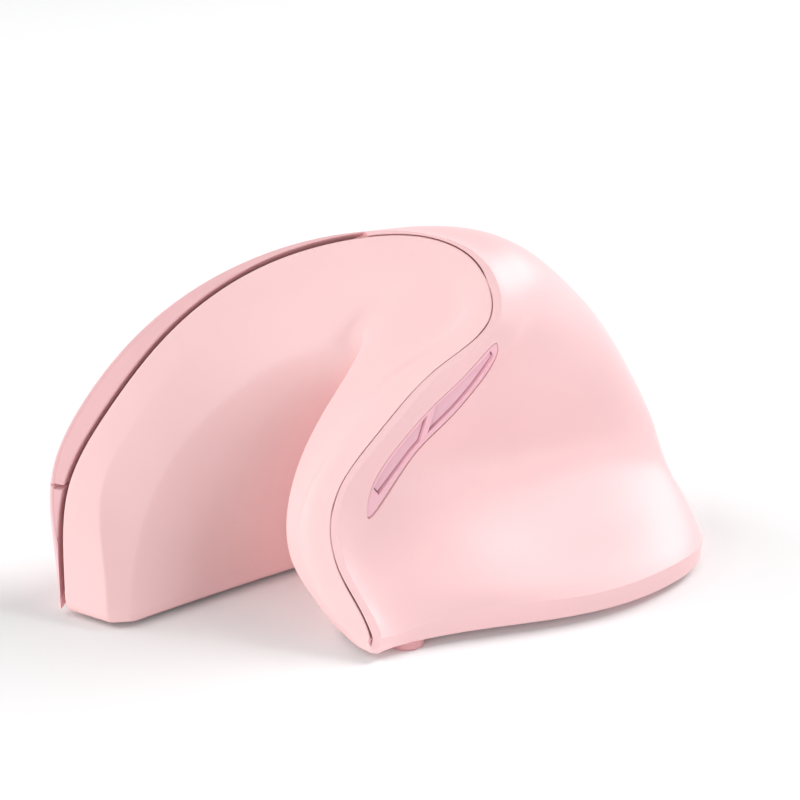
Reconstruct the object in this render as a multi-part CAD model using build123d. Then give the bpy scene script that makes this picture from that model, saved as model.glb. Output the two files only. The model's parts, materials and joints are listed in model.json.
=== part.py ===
from build123d import *
from math import cos, pi, radians, sin
import os

# Right-handed vertical mouse, in millimetres. The nose points to -Y, the thumb side to +X, and the
# origin is on the desk below the middle of the body.

# Overall body. The section tables below are drawn at the drawn_ sizes and follow these three.
body_width = 86.0
body_length = 124.0
body_height = 73.0
drawn_width = 86.0
drawn_length = 124.0
drawn_height = 73.0
scale_x = body_width / drawn_width
scale_y = body_length / drawn_length
scale_z = body_height / drawn_height

# Walls and gaps
wall = 2.2
plate_thickness = 2.0
fascia_wall = 2.0
seam_gap = 0.25
plate_gap = 0.4
running_gap = 0.3
seat_gap = 0.05
finger_slot = 1.0

# Underside
foot_height = 1.8
base_thickness = 2.2
base_inset = 3.0
base_top = foot_height + base_thickness
below_floor = -4.0

# From the section tables' own origin to the middle of the finished box
to_centre = (1.07, 1.76)

# The flat plane in which the front face's rim lies: a point on it and two directions along it
front_origin = Vector(4, -44.03, 0)
front_across = Vector(0.839, 0.544, 0)
front_up = Vector(-0.291, 0.449, 0.845)
front_out = front_across.cross(front_up)

# Key points of the front rim (across, up) and of the full outline just behind it
rim_points = [
    (-36.0, -5.0), (-40.8, 14.8), (-44.4, 29.5), (-40.0, 46.0), (-29.0, 62.8), (-9.6, 77.8),
    (9.7, 84.7), (26.9, 85.6), (38.6, 80.5), (42.7, 70.3), (34.0, 59.1), (23.4, 43.9),
    (16.9, 30.3), (19.9, 18.2), (25.4, 11.0), (27.8, 8.0), (29.3, 5.2), (28.2, -5.0),
]
lip_points = [
    (-37.0, -5.0), (-41.8, 14.8), (-45.1, 29.8), (-40.6, 46.4), (-29.5, 63.5), (-9.8, 78.6),
    (9.7, 85.5), (27.2, 86.3), (39.6, 81.4), (44.4, 70.2), (35.7, 57.9), (25.1, 42.9),
    (19.3, 30.0), (22.1, 19.3), (27.5, 12.8), (29.6, 9.4), (31.0, 6.2), (29.8, -5.0),
]
lip_depth = 2.6

# Cross sections (x, z) from front to rear. Each one fans out from the rim towards the rear end:
# its points lie at the stated share of the way back. The order of the points is that of the rim.
rear_y = 60.5
front_section = [
    (-34.5, below_floor), (-40.5, 12.5), (-42.6, 27.0), (-38.8, 41.5), (-32.0, 54.0), (-22.5, 65.0),
    (-11.0, 70.8), (1.8, 71.0), (12.3, 66.5), (18.4, 58.5), (17.4, 48.5), (13.8, 37.0),
    (12.2, 26.5), (18.0, 17.5), (25.0, 11.8), (29.0, 8.8), (31.0, 5.8), (30.0, below_floor),
]
waist_section = [
    (-37.5, below_floor), (-42.0, 12.5), (-41.0, 26.0), (-35.8, 39.5), (-28.5, 51.5), (-19.0, 61.5),
    (-8.5, 66.8), (2.5, 66.5), (11.5, 61.5), (16.5, 54.0), (16.8, 45.5), (14.8, 35.5),
    (14.0, 26.5), (20.0, 18.5), (28.5, 12.5), (35.0, 9.2), (39.0, 6.0), (37.5, below_floor),
]
palm_section = [
    (-36.0, below_floor), (-40.0, 12.0), (-38.5, 23.5), (-33.0, 35.0), (-25.5, 45.5), (-16.0, 53.0),
    (-6.0, 56.2), (4.0, 55.5), (12.0, 51.0), (16.0, 45.0), (17.2, 38.5), (16.6, 31.5),
    (17.0, 25.0), (22.5, 18.8), (30.5, 13.5), (37.5, 10.0), (43.0, 6.3), (41.5, below_floor),
]
heel_section = [
    (-28.5, below_floor), (-32.5, 10.5), (-31.0, 19.5), (-26.3, 28.5), (-19.5, 35.5), (-11.0, 40.0),
    (-3.0, 41.5), (5.0, 41.0), (12.0, 38.0), (16.0, 34.0), (18.3, 29.5), (19.6, 25.5),
    (21.5, 21.5), (26.0, 17.0), (31.5, 13.0), (36.0, 9.8), (39.8, 6.3), (38.5, below_floor),
]
tail_section = [
    (-14.5, below_floor), (-17.5, 7.0), (-16.5, 13.0), (-13.5, 18.5), (-9.0, 22.5), (-3.5, 24.8),
    (2.0, 25.3), (7.5, 25.0), (12.5, 23.6), (16.5, 21.5), (19.5, 19.3), (21.8, 17.3),
    (24.0, 15.2), (26.8, 12.9), (29.0, 10.6), (30.8, 8.3), (32.0, 6.0), (31.0, below_floor),
]
end_section = [
    (-0.5, below_floor), (-1.2, 2.5), (-0.8, 4.5), (0.3, 6.3), (2.0, 7.6), (4.2, 8.4),
    (6.5, 8.7), (8.8, 8.6), (10.8, 8.3), (12.6, 7.9), (14.0, 7.4), (15.2, 6.9),
    (16.2, 6.3), (17.0, 5.7), (17.7, 5.0), (18.2, 4.2), (18.5, 3.4), (18.0, below_floor),
]
sections = [
    (0.20, front_section), (0.42, waist_section), (0.66, palm_section),
    (0.86, heel_section), (0.96, tail_section), (1.00, end_section),
]
finger_bulge = 2
finger_mid = 3
wall_mid = 11
groove = 12
lobe = 13

# Front face: closed outlines on planes parallel to the front plane, as (across, up) key points from the
# foot of the finger leg over the top and down the diagonal to the foot of the thumb lobe
slot_outline = [
    (-34.4, -6.0), (-38.8, 12.6), (-40.5, 27.3), (-35.3, 43.0), (-23.4, 62.7), (-9.2, 75.3),
    (12.0, 83.9), (27.1, 84.8), (37.4, 79.4), (39.9, 72.4), (32.0, 60.5), (21.3, 45.0),
    (15.4, 30.5), (17.7, 17.0), (25.4, 6.5), (26.0, -6.0),
]
# The band and the crease also have a depth behind the plane: the foot of the finger leg bulges forward.
band_outline = [
    (-25.6, -6.0, -2.8), (-29.4, 12.6, -1.6), (-33.0, 27.0, -0.4), (-29.0, 42.0, 0.6), (-17.6, 60.0, 1.2),
    (-5.0, 70.6, 1.4), (11.0, 77.2, 1.4), (23.5, 78.0, 1.4), (32.0, 75.4, 1.4), (33.9, 71.0, 1.4),
    (26.0, 59.8, 1.4), (15.4, 44.5, 1.4), (9.2, 30.0, 1.4), (12.0, 17.0, 1.4), (21.0, 5.2, 1.4),
    (22.0, -6.0, 1.4),
]
crease_outline = [
    (-20.0, -6.0, -1.5), (-23.6, 12.8, 0.8), (-23.2, 27.5, 3.0), (-17.8, 41.4, 4.4), (-9.2, 51.8, 5.0),
    (0.4, 58.8, 5.0), (9.0, 63.6, 5.0), (12.0, 65.8, 5.0), (13.4, 65.8, 5.0), (13.6, 63.6, 5.0),
    (11.8, 58.0, 5.0), (7.4, 47.5, 5.0), (3.8, 31.0, 5.0), (7.0, 17.4, 5.0), (17.4, 5.8, 5.0),
    (18.6, -6.0, 5.0),
]
front_clear = 8.0
# The hollow's far end: (x, z) key points in the same order
hollow_end_y = -4.0
hollow_end = [
    (-13.4, below_floor - 2.0), (-13.6, 12.0), (-13.2, 21.0), (-12.0, 28.5), (-10.0, 33.5), (-7.6, 36.8),
    (-4.6, 38.6), (-3.0, 39.0), (-1.4, 38.8), (0.2, 37.8), (2.2, 34.8), (3.4, 29.5),
    (3.6, 22.0), (3.2, 13.0), (3.0, 6.0), (3.0, below_floor - 2.0),
]

# Click plates: outlines on the finger side, in its own frame: (towards the nose, across the fingers)
plate_reach = 60.0
plate_space_low = -30.0
plate_space_high = 12.0
split_half = 0.2
left_plate_outline = [(-22.0, split_half), (-26.0, 4.0), (-31.0, 20.0), (-37.0, 32.0), (-43.5, 41.0)]
right_plate_outline = [
    (-22.0, -split_half), (-24.0, -5.0), (-23.5, -17.0), (-20.0, -21.5), (0.0, -20.5), (24.0, -16.5),
]
plunger_radius = 1.6
left_riser_top = -1.4
right_riser_top = -2.6

# Each plate tilts on a tongue that reaches back under the shell to a seat on the click frame
tongue_seat_a = -34.0
tongue_past_seat = 2.0
tongue_thickness = 1.4
tongue_top = -5.0
left_tongue = (9.4, 13.0)
left_tongue_root = (-27.6, -25.5)
left_root_top = -1.8
right_tongue = (-8.6, -4.6)
right_tongue_root = (-22.5, -18.0)
right_root_top = -0.4
seat_radius = 1.4
click_travel_deg = 0.75
pivot_radius = 0.8
pivot_drop = 0.3

# Scroll wheel, whose axle lies across the fingers
wheel_radius = 9.0
tyre_thickness = 1.8
tyre_width = 5.6
wheel_width = 6.0
wheel_a = -8.0
wheel_proud = 3.2
axle_radius = 1.2
wheel_slot_gap = 1.2
spoke_hole_radius = 1.3
wheel_arm = 1.4
wheel_arm_gap = 0.35
encoder_width = 2.3
carrier_pin_radius = 1.0
ear_width = 1.5
ear_half_length = 2.4
wheel_press_deg = 0.9

# Click board and its frame
board_thickness = 1.2
frame_thickness = 2.0
click_board_h = -12.0
switch_length = 12.8
switch_width = 5.8
switch_height = 6.5
switch_button = 0.6
switch_button_offset = 3.2
click_stop_gap = 0.06
left_switch = (-15.4, 9.9)
right_switch = (-1.4, -8.3)
press_switch = (4.2, -2.2)
press_switch_height = 1.9
press_switch_size = 3.4
press_gap = 0.5
click_screws = [(7.4, -9.0), (-28.4, 7.4)]
click_board_outline = [
    (-32, -4), (-32, 13.4), (-12, 13.4), (-12, 7.6), (7, 1), (9.8, -4), (9.8, -14), (-12.5, -14), (-12.5, -9.5),
    (-22, -9.5), (-24, -4),
]
click_frame_outline = [
    (-37, -9.5), (-37, 18.5), (-12, 18.5), (-12, 8), (8, 2), (10.8, -4), (10.8, -16), (-13.5, -16), (-13.5, -11),
    (-24, -11),
]
frame_screw = (-30.5, -38.0)
frame_foot = (5.6, 14.0, 8.0)

# Speed button behind the wheel
dpi_at = (-30.0, 0.0)
dpi_length = 6.4
dpi_width = 3.4
dpi_top = 1.6
dpi_flange = (-3.8, -2.7)
dpi_travel = 0.4

# Thumb buttons: leaf outline on the thumb wall, (towards the heel, upwards)
leaf_outline = [
    (-24.0, -0.2), (-18.3, 2.7), (-11.9, 4.6), (-5.0, 5.9), (0.9, 6.7), (8.7, 7.8), (16.6, 9.2),
    (13.5, 5.4), (9.0, 3.3), (1.0, 1.7), (-8.0, 0.9), (-17.0, -0.9),
]
# The bezel's sloping edge falls from just below the skin to the windows, and the buttons stand between.
bezel_sunk = 0.15
bezel_slope = 0.8
bezel_back = 4.6
bezel_rim = 1.1
bezel_shift = 0.3
bezel_flange = 1.4
bezel_flange_thickness = 1.4
bezel_feet = ((0.0, 1.2), (11.0, 3.6))
bezel_foot_radius = 0.7
thumb_button_sunk = 0.6
window_ends = (-19.5, 14.6)
thumb_parting = ((-6.6, 1.5), (-0.4, 6.6))
thumb_split_gap = 1.8
flange_margin = 0.6
flange_split = -1.5
flange_thickness = 1.0
thumb_travel = 0.5
forward_tact = (-4.8, 3.4)
back_tact = (7.0, 5.0)
thumb_board_rear = 13.0
thumb_board_b = (0.2, 7.2)
thumb_board_corner = 2.6

# Small push switches
tact_size = 3.6
tact_height = 1.5
tact_button = 0.4
tact_gap = 0.1

# Battery bay, in a frame of its own that follows the finger side
bay_x = -26.8
bay_y = -16.5
bay_turn = -5.0
battery_radius = 5.25
battery_length = 44.5
nub_radius = 1.9
nub_length = 0.9
spring_length = 3.2
spring_wire = 0.6
spring_turns = 4
contact_thickness = 0.5
contact_half = 3.6
bay_wall = 1.2
door_half = 6.1
door_thickness = 1.4
door_gap = 0.2
door_travel = 8.0

# Main board, sensor and power switch
main_board_bottom = 8.0
main_board = ((-14.5, 13.0), (0.5, 46.0))
board_posts = [(-11.0, 5.0), (9.0, 5.5), (-10.5, 32.0), (10.0, 29.0)]
sensor_x = 0.0
sensor_y = 13.0
power_x = 4.0
power_y = 38.0
power_travel = 2.0
chip_x = 3.0
chip_y = 26.5

# Screws
screw_radius = 1.0
screw_head_radius = 1.9
screw_head_height = 1.2
boss_radius = 2.9
screw_length = 5.0
bore_depth = 5.2
shell_screws = [(23.0, -9.0), (27.0, 28.0), (-9.0, 48.5)]
head_recess = 1.2

# Glide feet: (x, y, length, width, turn in degrees)
feet = [(-27.0, -50.0, 14.0, 6.0, 0.0), (22.2, -18.6, 13.0, 7.0, 12.0), (2.0, 52.0, 24.0, 6.5, 0.0),
        (36.5, 30.0, 16.0, 5.0, 84.0)]

# Sizes that follow from the ones above
wheel_h = wheel_proud - wheel_radius
slot_length = 2 * (wheel_radius ** 2 - (wheel_h + wall) ** 2) ** 0.5 + 2 * wheel_slot_gap
slot_width = wheel_width + 2 * wheel_slot_gap
click_frame_top = click_board_h - board_thickness
click_frame_bottom = click_frame_top - frame_thickness
switch_top = click_board_h + switch_height
tongue_low = tongue_top - tongue_thickness
pivot_h = tongue_low - pivot_drop
carrier_half = wheel_width / 2 + wheel_arm_gap + wheel_arm
carrier_pin_a = wheel_a - wheel_radius - 2.2
carrier_pin_h = click_board_h + 1.8
carrier_side = carrier_half + 0.4
carrier_cut_a = (carrier_pin_a - ear_half_length, wheel_a + wheel_radius + 0.4)
carrier_cut_b = (-carrier_side, carrier_side)
ear_cut_a = (carrier_pin_a - ear_half_length - 0.3, carrier_pin_a + ear_half_length + 0.3)
ear_cut_b = (-carrier_side - ear_width - 0.3, carrier_side + ear_width + 0.3)
press_bar_bottom = click_board_h + press_switch_height + tact_button + press_gap
dpi_bottom = click_board_h + tact_height + tact_button + dpi_travel + tact_gap
leaf_reach = 40.0
skin_search = 12.0
flange_top = -bezel_back - running_gap
flange_bottom = flange_top - flange_thickness
thumb_board_h = flange_bottom - thumb_travel - tact_gap - tact_button - tact_height
battery_z = base_top + running_gap + battery_radius
bay_length = spring_length + battery_length
base_rear = rear_y * scale_y - wall - 2 * running_gap
door_rear = bay_length - 1.0


def scaled(point):
    return Vector(point.X * scale_x, point.Y * scale_y, point.Z * scale_z)


def on_front(across, up, depth=0.0):
    return front_origin + front_across * across + front_up * up - front_out * depth


def hull_rows():
    """Every outline of the body as a row of points, from the rim to the rear end."""
    rim = [on_front(u, v) for u, v in rim_points]
    lip = [on_front(u, v, lip_depth) for u, v in lip_points]
    rows = [rim, lip]
    for share, section in sections:
        rows.append([Vector(x, p.Y + share * (rear_y - p.Y), z) for (x, z), p in zip(section, rim)])
    return [[scaled(p) for p in row] for row in rows]


rows = hull_rows()
front_normal = scaled(front_across).cross(scaled(front_up)).normalized()


def outward(row, column):
    """The direction that points out of the body at one key point."""
    last_row = len(rows) - 1
    last_column = len(rows[0]) - 1
    along = rows[min(row + 1, last_row)][column] - rows[max(row - 1, 0)][column]
    around = rows[row][min(column + 1, last_column)] - rows[row][max(column - 1, 0)]
    if row == 0:
        return around.cross(front_normal).normalized() * -1
    if row == last_row:
        return around.cross(Vector(0, -1, 0)).normalized() * -1
    return around.cross(along).normalized()


def closed_wire(points):
    """A smooth skin over all points but the last, then straight down and back below the floor."""
    skin = Spline(*points[:-1])
    side = Line(points[-2], points[-1])
    floor = Line(points[-1], points[0])
    return Wire([skin.edge(), side.edge(), floor.edge()])


def hull():
    return Solid.make_loft([closed_wire(row) for row in rows])


def core(inset):
    """The space inside the body, with its skin the stated distance inside the outer skin."""
    wires = []
    for r, row in enumerate(rows):
        points = [p - outward(r, c) * inset for c, p in enumerate(row[:-1])]
        down = Vector(0, 0, -1)
        if r == 0:
            points = [p + front_normal * inset for p in points]
            down = scaled(front_up).normalized() * -1
        if r == len(rows) - 1:
            points = [p - Vector(0, inset, 0) for p in points]
        foot = points[-1] + down * ((points[-1].Z - points[0].Z) / -down.Z)
        wires.append(closed_wire([*points, foot]))
    return Solid.make_loft(wires)


def inside(points, distance):
    """Moves the points of an outline inwards, or outwards with a negative distance."""
    last = len(points) - 1
    moved = []
    for i, point in enumerate(points):
        du = points[min(i + 1, last)][0] - points[max(i - 1, 0)][0]
        dv = points[min(i + 1, last)][1] - points[max(i - 1, 0)][1]
        length = (du * du + dv * dv) ** 0.5
        moved.append((point[0] + dv / length * distance, point[1] - du / length * distance, *point[2:]))
    return moved


def skin_wire(points):
    return Wire([Spline(*points).edge(), Line(points[-1], points[0]).edge()])


def front_wire(outline, depth=0.0):
    """An outline in front plane coordinates; points may state a depth of their own."""
    return skin_wire([scaled(on_front(p[0], p[1], depth + sum(p[2:]))) for p in outline])


def end_wire(outline, y):
    return skin_wire([scaled(Vector(x, y, z)) for x, z in outline])


def hollow_space():
    """What is cut out of the front: rim, band, crease and the far end, joined by ruled faces."""
    return Solid.make_loft([
        front_wire(inside(slot_outline, -1.0), -front_clear),
        front_wire(inside(slot_outline, -0.3), 0.0),
        front_wire(inside(slot_outline, 0.5), 0.2),
        front_wire(band_outline),
        front_wire(crease_outline),
        end_wire(hollow_end, hollow_end_y),
    ], ruled=True)


def fascia_outside(gap=0.0):
    """The outer shape of the front face, with an even gap added when it is used as a cutter."""
    back = fascia_wall + gap
    return Solid.make_loft([
        front_wire(inside(slot_outline, -gap), -front_clear),
        front_wire(inside(slot_outline, -gap), back),
        front_wire(inside(band_outline, -fascia_wall / 2 - gap), back),
        front_wire(inside(crease_outline, -fascia_wall - gap), back),
        end_wire(inside(hollow_end, -fascia_wall - gap), hollow_end_y + back),
    ], ruled=True)


def above(shape, level):
    """The part of a shape that lies above a level."""
    size = 4 * body_length
    return shape & Pos(0, 0, level + size / 2) * Box(size, size, size)


# Frames of the two working sides, laid on the body's own skin
front_row = 2
finger_split = scaled(on_front(-44.2, 26.8))
finger_origin = rows[front_row][finger_bulge]
finger_out = outward(front_row, finger_bulge) + outward(front_row, finger_mid)
finger_plane = Plane(origin=finger_origin, x_dir=finger_split - finger_origin, z_dir=finger_out)
thumb_plane = Plane(
    origin=rows[front_row][wall_mid],
    x_dir=Vector(0, 0.8, 0.6),
    z_dir=outward(front_row, wall_mid),
)
finger = finger_plane.location
thumb = thumb_plane.location
world = Location()


def block(place, a, b, h):
    """A box between two limits in each direction of a frame."""
    size = [limits[1] - limits[0] for limits in (a, b, h)]
    middle = [(limits[1] + limits[0]) / 2 for limits in (a, b, h)]
    return place * Pos(*middle) * Box(*size)


def rod(place, a, b, h, radius):
    """A cylinder that stands up in a frame."""
    return place * Pos(a, b, (h[0] + h[1]) / 2) * Cylinder(radius, h[1] - h[0])


def prism(place, outline, h):
    """A straight-sided outline of a frame, raised between two heights."""
    face = make_face(Polyline(*outline, close=True))
    return place * extrude(Pos(0, 0, h[0]) * face, h[1] - h[0])


def leaf_points(grow, shift=0.0):
    """Key points of the leaf shape on the thumb wall, grown sideways and shifted upwards."""
    points = []
    for i, (a, b) in enumerate(leaf_outline):
        before = leaf_outline[i - 1]
        after = leaf_outline[(i + 1) % len(leaf_outline)]
        da, db = after[0] - before[0], after[1] - before[1]
        length = (da * da + db * db) ** 0.5
        points.append((a - db / length * grow, b + da / length * grow + shift))
    return points


def leaf(h, grow=0.0, shift=0.0):
    """The leaf shape raised between two heights."""
    face = make_face(Spline(*leaf_points(grow, shift), periodic=True))
    return thumb * extrude(Pos(0, 0, h[0]) * face, h[1] - h[0])


def skin_height(a, b):
    """How far the thumb wall's skin stands above the thumb frame at one place."""
    probe = thumb * Line((a, b, -skin_search), (a, b, skin_search))
    inside_skin = body.intersect(probe)
    return max(thumb_plane.to_local_coords(Vector(*v)).Z for v in inside_skin.vertices())


def leaf_funnel():
    """A cutter whose side slopes from the leaf's edge in the skin down to the windows."""
    outer = leaf_points(0.0)
    inner = leaf_points(running_gap - bezel_rim, bezel_shift)
    heights = [skin_height(a, b) - bezel_sunk for a, b in outer]
    rings = [
        [(a, b, skin_search) for a, b in outer],
        [(a, b, h) for (a, b), h in zip(outer, heights)],
        [(a, b, h - bezel_slope) for (a, b), h in zip(inner, heights)],
        [(a, b, -skin_search) for a, b in inner],
    ]
    return thumb * Solid.make_loft([Wire([Spline(*ring, periodic=True).edge()]) for ring in rings], ruled=True)


def left_plate_space(grow=0.0):
    rear = left_plate_outline[-1][0]
    outline = [(plate_reach, split_half), *left_plate_outline, (rear, plate_reach), (plate_reach, plate_reach)]
    return plate_space(outline, grow)


def right_plate_space(grow=0.0):
    outline = [(plate_reach, -split_half), *right_plate_outline, (plate_reach, right_plate_outline[-1][1])]
    return plate_space(outline, grow)


def plate_space(outline, grow):
    face = make_face(Polyline(*outline, close=True))
    if grow:
        face = offset(face, grow, kind=Kind.INTERSECTION)
    return finger * extrude(Pos(0, 0, plate_space_low) * face, plate_space_high - plate_space_low)


def cross_rod(a, h, radius, length):
    """A cylinder across the fingers."""
    return finger * Pos(a, 0, h) * Rot(90, 0, 0) * Cylinder(radius, length)


body = hull()
above_base = above(body, foot_height)
front_cutter = fascia_outside(seam_gap)
finger_cutter = fascia_outside(finger_slot)
inner_cutter = fascia_outside(running_gap + 0.1)
inner_space = core(wall)
room_core = core(wall + running_gap)
room = room_core - inner_cutter


def front_fascia():
    """Rim, soft bands and the deep hollow, one moulded sheet."""
    return above(fascia_outside(), foot_height) - hollow_space()


def shell_bosses():
    """Columns under the palm that take the base screws."""
    columns = [rod(world, x, y, (base_top + seat_gap, body_height), boss_radius) for x, y in shell_screws]
    return (columns[0] + columns[1:]) & core(wall / 2)


def below_plates():
    """The strip of the finger side between the right click plate and the desk."""
    wide = (-plate_reach, plate_reach)
    return block(finger, (right_plate_outline[3][0], plate_reach), (-plate_reach, right_plate_outline[-1][1]), wide)


def body_shell():
    """Ridge, palm side, thumb wall and thumb rest in one moulding."""
    shell = above_base - inner_space
    shell -= left_plate_space(plate_gap)
    shell -= right_plate_space(plate_gap)
    shell -= front_cutter
    shell -= finger_cutter & below_plates()
    shell -= leaf((-skin_search, skin_search), seam_gap)
    shell -= dpi_slot(plate_gap)
    shell += shell_bosses()
    for x, y in shell_screws:
        shell -= rod(world, x, y, (0, foot_height + head_recess + bore_depth), screw_radius + seat_gap)
    return largest(shell)


def largest(shape):
    return shape.solids().sort_by(SortBy.VOLUME)[-1]


def wheel_slot():
    """The opening through both click plates in which the wheel stands."""
    return finger * Pos(wheel_a, 0, 0) * extrude(SlotOverall(slot_length, slot_width), 14, both=True)


def click_plate(space, at, plunger_top, tongue, root, root_top):
    """A cover plate cut from the finger side, with its plunger and the tongue on which it tilts."""
    plate = (above_base - inner_space) & space
    plate -= finger_cutter
    plate = largest(plate - wheel_slot())
    press = (at[0] - tongue_seat_a) * radians(click_travel_deg)
    plate -= switch_case(at, running_gap, press + running_gap)
    plate += rod(finger, *at, (switch_top + switch_button + press + click_stop_gap, plunger_top), plunger_radius)
    plate += block(finger, (tongue_seat_a - tongue_past_seat, root[1]), tongue, (tongue_low, tongue_top))
    plate += block(finger, root, tongue, (tongue_low, root_top))
    return plate - cross_rod(tongue_seat_a, pivot_h, pivot_radius + seat_gap, plate_reach)


def left_click_button():
    return click_plate(left_plate_space(), left_switch, left_riser_top, left_tongue, left_tongue_root, left_root_top)


def right_click_button():
    return click_plate(
        right_plate_space(), right_switch, right_riser_top, right_tongue, right_tongue_root, right_root_top)


def thumb_half(front, gap=0.0):
    """The part of the leaf that one button takes, up to the slanted parting between the two."""
    (a0, b0), (a1, b1) = thumb_parting
    slant = (a1 - a0) / (b1 - b0)
    side = -1 if front else 1
    shift = side * (thumb_split_gap / 2 - gap) * (1 + slant * slant) ** 0.5
    reach = 2 * skin_search
    upper = a0 + shift + slant * (reach - b0)
    lower = a0 + shift + slant * (-reach - b0)
    end = side * 4 * reach
    return prism(thumb, [(upper, reach), (lower, -reach), (end, -reach), (end, reach)], (-reach, reach))


def thumb_window(front, gap=0.0):
    window = leaf((-skin_search, skin_search), gap - bezel_rim, bezel_shift) & thumb_half(front, gap)
    wide = (-leaf_reach, leaf_reach)
    return window & block(thumb, (window_ends[0] - gap, window_ends[1] + gap), wide, wide)


def thumb_bezel():
    """Recessed leaf-shaped insert with a window for each thumb button and two feet for its board."""
    bezel = leaf((-bezel_back, skin_search)) & core(bezel_sunk)
    bar = block(thumb, (-leaf_reach, leaf_reach), (-leaf_reach, leaf_reach), (-bezel_back, leaf_reach))
    bar = bar & core(thumb_button_sunk) & leaf((-bezel_back, skin_search))
    sloped = bezel - leaf_funnel()
    bezel = sloped + bar
    bezel += leaf((-bezel_back, -bezel_back + bezel_flange_thickness), bezel_flange) & room_core
    bezel -= thumb_window(True, running_gap)
    bezel -= thumb_window(False, running_gap)
    bezel -= inner_cutter
    for a, b in bezel_feet:
        bezel += rod(thumb, a, b, (thumb_board_h, -bezel_back + 0.5), bezel_foot_radius)
    return largest(bezel)


def thumb_button(front):
    """A button that follows the wall's skin inside its window, with a flange behind that stops it."""
    wide = (-leaf_reach, leaf_reach)
    button = thumb_window(front) & block(thumb, wide, wide, (flange_bottom, leaf_reach)) & core(thumb_button_sunk)
    low = (flange_bottom - 1.0, flange_top + thumb_travel + 2 * running_gap)
    flange_end = running_gap + 0.1
    if front:
        flange_a = (-leaf_reach, flange_split - flange_end)
    else:
        flange_a = (flange_split + flange_end, leaf_reach)
        button -= block(thumb, (-leaf_reach, flange_a[0]), wide, low)
    flange = leaf((flange_bottom, flange_top), flange_margin - bezel_rim, bezel_shift)
    button += flange & block(thumb, flange_a, wide, wide)
    travel = thumb_plane.z_dir * (thumb_travel + running_gap)
    button -= Pos(*travel) * inner_cutter
    return largest(button)


def forward_button():
    return thumb_button(True)


def back_button():
    return thumb_button(False)


def tact_switch(place, a, b, board_top, height=tact_height, size=tact_size):
    """A small push switch with its round button, standing on a board."""
    case = block(place, (a - size / 2, a + size / 2), (b - size / 2, b + size / 2), (board_top, board_top + height))
    return case + rod(place, a, b, (board_top + height, board_top + height + tact_button), size / 4)


def forward_switch():
    return tact_switch(thumb, *forward_tact, thumb_board_h)


def back_switch():
    return tact_switch(thumb, *back_tact, thumb_board_h)


def thumb_pcb():
    front = forward_tact[0] - tact_size / 2
    low, high = thumb_board_b
    outline = [(front, high), (front, low + thumb_board_corner), (front + thumb_board_corner, low),
               (thumb_board_rear, low), (thumb_board_rear, high)]
    return prism(thumb, outline, (thumb_board_h - board_thickness, thumb_board_h))


def click_pcb():
    """The board under the click plates, cut out round the wheel."""
    board = prism(finger, click_board_outline, (click_frame_top, click_board_h)) & room
    board -= block(finger, carrier_cut_a, carrier_cut_b, (click_frame_bottom, 0))
    board -= block(finger, ear_cut_a, ear_cut_b, (click_frame_bottom, 0))
    for a, b in click_screws:
        board -= rod(finger, a, b, (click_frame_bottom, 0), screw_radius + 0.1)
    return largest(board)


def click_frame():
    """The bracket inside the finger leg that carries the click board, the wheel fork and the plates."""
    frame = prism(finger, click_frame_outline, (click_frame_bottom, click_frame_top)) & room
    frame -= block(finger, carrier_cut_a, carrier_cut_b, (plate_space_low, 0))
    for side in (-1, 1):
        limits = sorted((side * carrier_side, side * (carrier_side + ear_width)))
        along = (carrier_pin_a - ear_half_length, carrier_pin_a + ear_half_length)
        frame += block(finger, along, limits, (click_frame_bottom, carrier_pin_h + 2.2))
    frame -= cross_rod(carrier_pin_a, carrier_pin_h, carrier_pin_radius + seat_gap, 4 * carrier_side)
    for b0, b1 in (left_tongue, right_tongue):
        middle = (b0 + b1) / 2
        frame += rod(finger, tongue_seat_a, middle, (click_frame_bottom, pivot_h), seat_radius)
        frame += Pos(*(finger_plane.y_dir * middle)) * cross_rod(tongue_seat_a, pivot_h, pivot_radius, b1 - b0)
    x, y = frame_screw
    width, length, height = frame_foot
    foot = block(world, (x - width / 2, x + width / 2), (y - length / 2, y + length / 2), (base_top, base_top + height))
    foot -= block(finger, (-plate_reach, plate_reach), (-plate_reach, plate_reach), (click_frame_top, plate_reach))
    frame += foot & room
    frame -= rod(world, x, y, (0, base_top + screw_length), screw_radius + seat_gap)
    for a, b in click_screws:
        frame -= rod(finger, a, b, (plate_space_low, 0), screw_radius + seat_gap)
    return largest(frame)


def screw(place, length):
    """A pan-head screw that stands with its head above the place and its shank below."""
    head = Pos(0, 0, screw_head_height / 2) * Cylinder(screw_head_radius, screw_head_height)
    shank = Pos(0, 0, -length / 2) * Cylinder(screw_radius, length)
    cross = Pos(0, 0, screw_head_height) * (Box(2.4, 0.5, 1.0) + Box(0.5, 2.4, 1.0))
    return place * (head + shank - cross)


def click_frame_screws():
    length = click_board_h - click_frame_bottom
    return Compound([screw(finger * Pos(a, b, click_board_h), length).solids()[0] for a, b in click_screws])


def switch_case(at, around=0.0, over=0.0):
    """The case of a click switch, or the room that it needs with its button near the front end."""
    middle = at[0] - switch_button_offset
    half_length = switch_length / 2 + around
    half_width = switch_width / 2 + around
    return block(finger, (middle - half_length, middle + half_length), (at[1] - half_width, at[1] + half_width),
                 (click_board_h, switch_top + over))


def click_switch(at):
    """A small snap switch lying on the click board, with its button on top."""
    a, b = at
    return switch_case(at) + block(finger, (a - 1.4, a + 1.4), (b - 0.8, b + 0.8), (switch_top, switch_top + switch_button))


def left_click_switch():
    return click_switch(left_switch)


def right_click_switch():
    return click_switch(right_switch)


def wheel_press_switch():
    return tact_switch(finger, *press_switch, click_board_h, press_switch_height, press_switch_size)


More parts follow.
